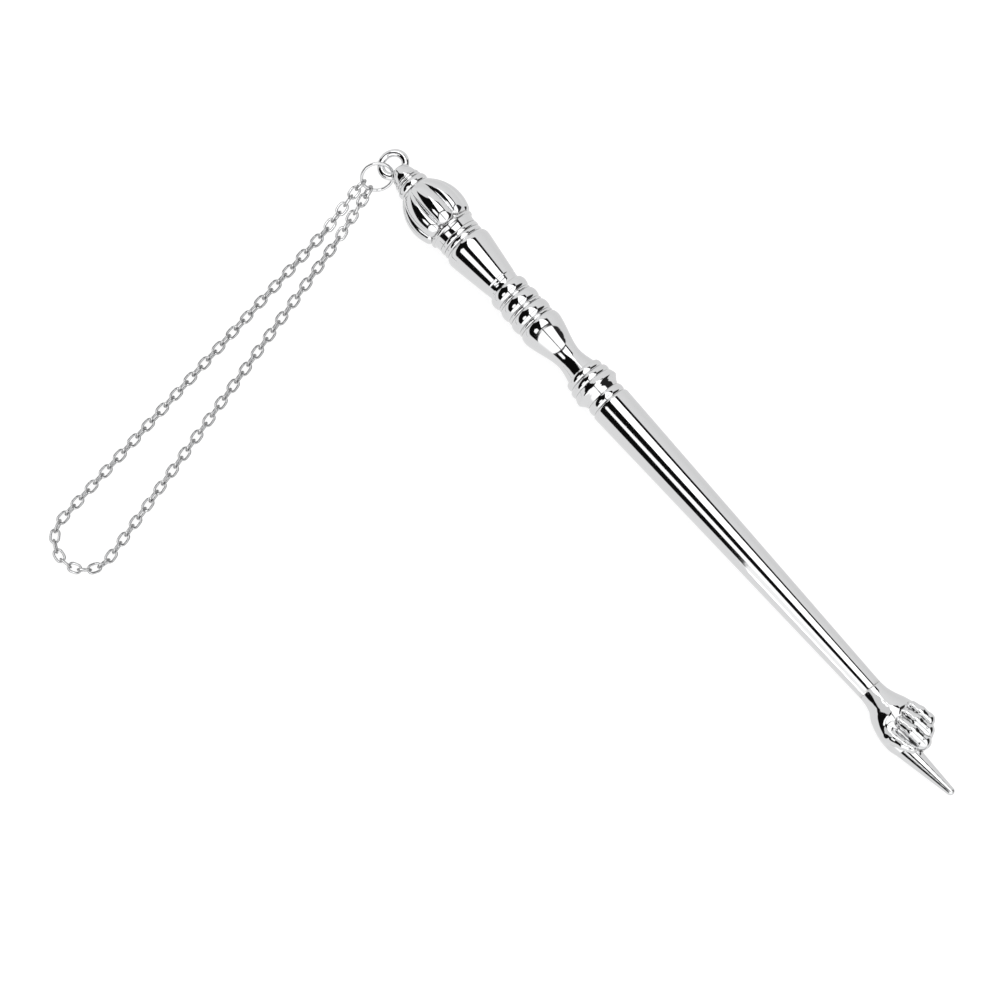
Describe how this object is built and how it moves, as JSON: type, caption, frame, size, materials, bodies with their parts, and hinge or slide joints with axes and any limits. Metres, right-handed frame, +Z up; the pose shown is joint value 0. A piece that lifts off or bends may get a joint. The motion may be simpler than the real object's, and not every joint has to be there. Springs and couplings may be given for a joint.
{
  "type": "torah pointer",
  "caption": "Hand-held reading pointer with a lobed bulb, turned grip, tapered shaft and small pointing hand, and a jump ring with a cable chain loop at the eye.",
  "frame": {"origin": "bottom centre of the whole object's box, on the table it lies on", "axes": "+X along the pointer from the eye to the fingertip, +Z up, the chain loop lies towards -Y"},
  "size_m": [0.2, 0.1282, 0.0146],
  "materials": {
    "plated": "mirror-bright nickel or silver plate",
    "ring": "bright plated wire",
    "chain": "bright plated wire links, lightly worn",
    "rod_steel": "plain turned steel, out of sight"
  },
  "bodies": {
    "pointer": {"eye_finial": "plated", "neck_collar": "plated", "lobed_bulb": "plated", "bulb_collar": "plated", "vase_grip": "plated", "upper_bead": "plated", "middle_bead": "plated", "lower_bead": "plated", "baluster": "plated", "shaft_collar": "plated", "shaft_ferrule": "plated", "shaft_tube": "plated", "shaft_top_plug": "rod_steel", "shaft_end_plug": "rod_steel", "tie_rod": "rod_steel", "hand_stud": "rod_steel", "pointing_hand": "plated"},
    "jump_ring": {"jump_ring": "ring"},
    "chain_top": {"chain_links_top": "chain"},
    "chain_1": {"chain_links_1": "chain"},
    "chain_2": {"chain_links_2": "chain"},
    "chain_3": {"chain_links_3": "chain"},
    "chain_4": {"chain_links_4": "chain"},
    "chain_5": {"chain_links_5": "chain"},
    "chain_6": {"chain_links_6": "chain"},
    "chain_end": {"chain_links_end": "chain"}
  },
  "joints": [
    {"name": "ring_slide", "type": "hinge", "parent": "pointer", "child": "jump_ring", "pos_m": [-0.09634, 0.05681, 0.00757], "axis": [0.0167, 0, 0.9999], "range_deg": [-170, 0]},
    {"name": "chain_swing", "type": "hinge", "parent": "jump_ring", "child": "chain_top", "pos_m": [-0.09752, 0.04894, 0.00564], "axis": [0.6895, 0.0978, -0.7176], "range_deg": [-30, 30]},
    {"name": "fold_1", "type": "hinge", "parent": "chain_top", "child": "chain_1", "pos_m": [-0.09515, 0.03547, 0.00135], "axis": [0.9848, 0.1736, 0], "range_deg": [-30, 30]},
    {"name": "fold_2", "type": "hinge", "parent": "chain_1", "child": "chain_2", "pos_m": [-0.09259, 0.02097, 0.00135], "axis": [0.9848, 0.1736, 0], "range_deg": [-30, 30]},
    {"name": "fold_3", "type": "hinge", "parent": "chain_2", "child": "chain_3", "pos_m": [-0.09003, 0.00646, 0.00135], "axis": [0.9848, 0.1736, 0], "range_deg": [-30, 30]},
    {"name": "fold_4", "type": "hinge", "parent": "chain_3", "child": "chain_4", "pos_m": [-0.08748, -0.00805, 0.00135], "axis": [0.9848, 0.1736, 0], "range_deg": [-30, 30]},
    {"name": "fold_5", "type": "hinge", "parent": "chain_4", "child": "chain_5", "pos_m": [-0.08492, -0.02256, 0.00135], "axis": [0.9848, 0.1736, 0], "range_deg": [-30, 30]},
    {"name": "fold_6", "type": "hinge", "parent": "chain_5", "child": "chain_6", "pos_m": [-0.08236, -0.03707, 0.00135], "axis": [0.9848, 0.1736, 0], "range_deg": [-30, 30]},
    {"name": "fold_7", "type": "hinge", "parent": "chain_6", "child": "chain_end", "pos_m": [-0.0798, -0.05158, 0.00135], "axis": [0.9848, 0.1736, 0], "range_deg": [-30, 30]}
  ]
}
